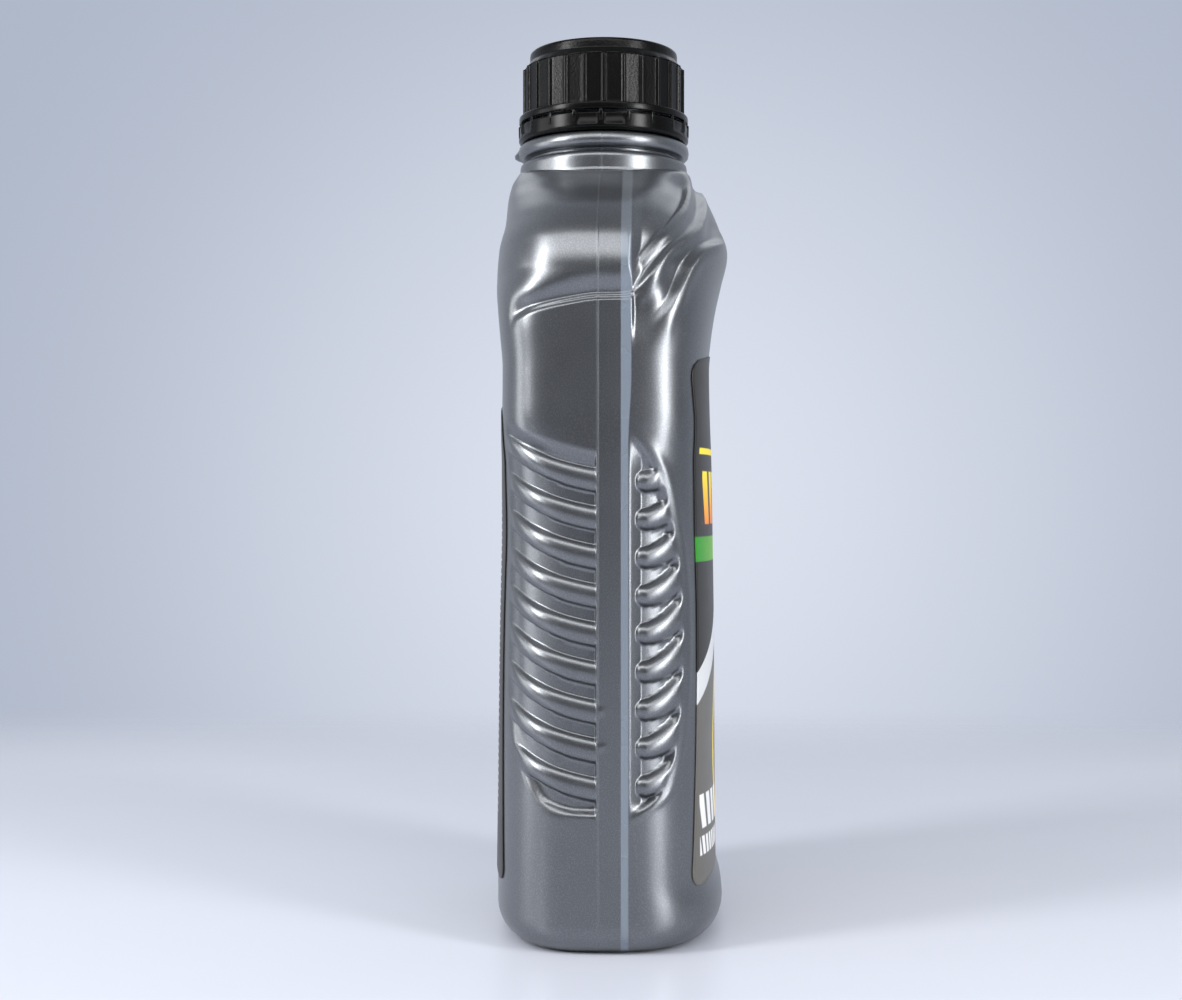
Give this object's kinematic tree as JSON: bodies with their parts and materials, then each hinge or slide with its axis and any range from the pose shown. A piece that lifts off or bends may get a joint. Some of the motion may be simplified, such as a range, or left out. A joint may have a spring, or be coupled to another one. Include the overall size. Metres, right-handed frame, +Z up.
{
  "type": "motor oil bottle",
  "caption": "Flat blown plastic oil bottle with ribbed grip ends, a stepped shoulder, filled, labelled and closed by a ribbed screw cap over a tamper band.",
  "frame": {"origin": "middle of the overall width and depth, on the standing plane", "axes": "+Z up along the neck, X along the width of the bottle, front label face toward -Y; the neck axis stands 2.8 mm behind the origin, at Y = +0.0028"},
  "size_m": [0.1103, 0.0644, 0.2441],
  "materials": {
    "bottle": "satin",
    "oil": "gloss",
    "closure": "satin",
    "liner": "matte",
    "label": "gloss"
  },
  "bodies": {
    "vessel": {"bottle": "bottle", "oil": "oil", "tamper_band": "closure", "front_label": "label", "back_label": "label"},
    "seal": {"cap_liner": "liner"},
    "closure": {"cap": "closure"}
  },
  "joints": [
    {"name": "cap_rise", "type": "slide", "parent": "vessel", "child": "seal", "axis": [0, 0, 1], "range_m": [0, 0.02]},
    {"name": "cap_turn", "type": "hinge", "parent": "seal", "child": "closure", "pos_m": [0, 0.0028, 0.23], "axis": [0, 0, 1], "range_deg": [0, 900]}
  ],
  "couplings": [
    {"joint": "cap_rise", "follows": "cap_turn", "m_per_rad": 0.0012732}
  ]
}
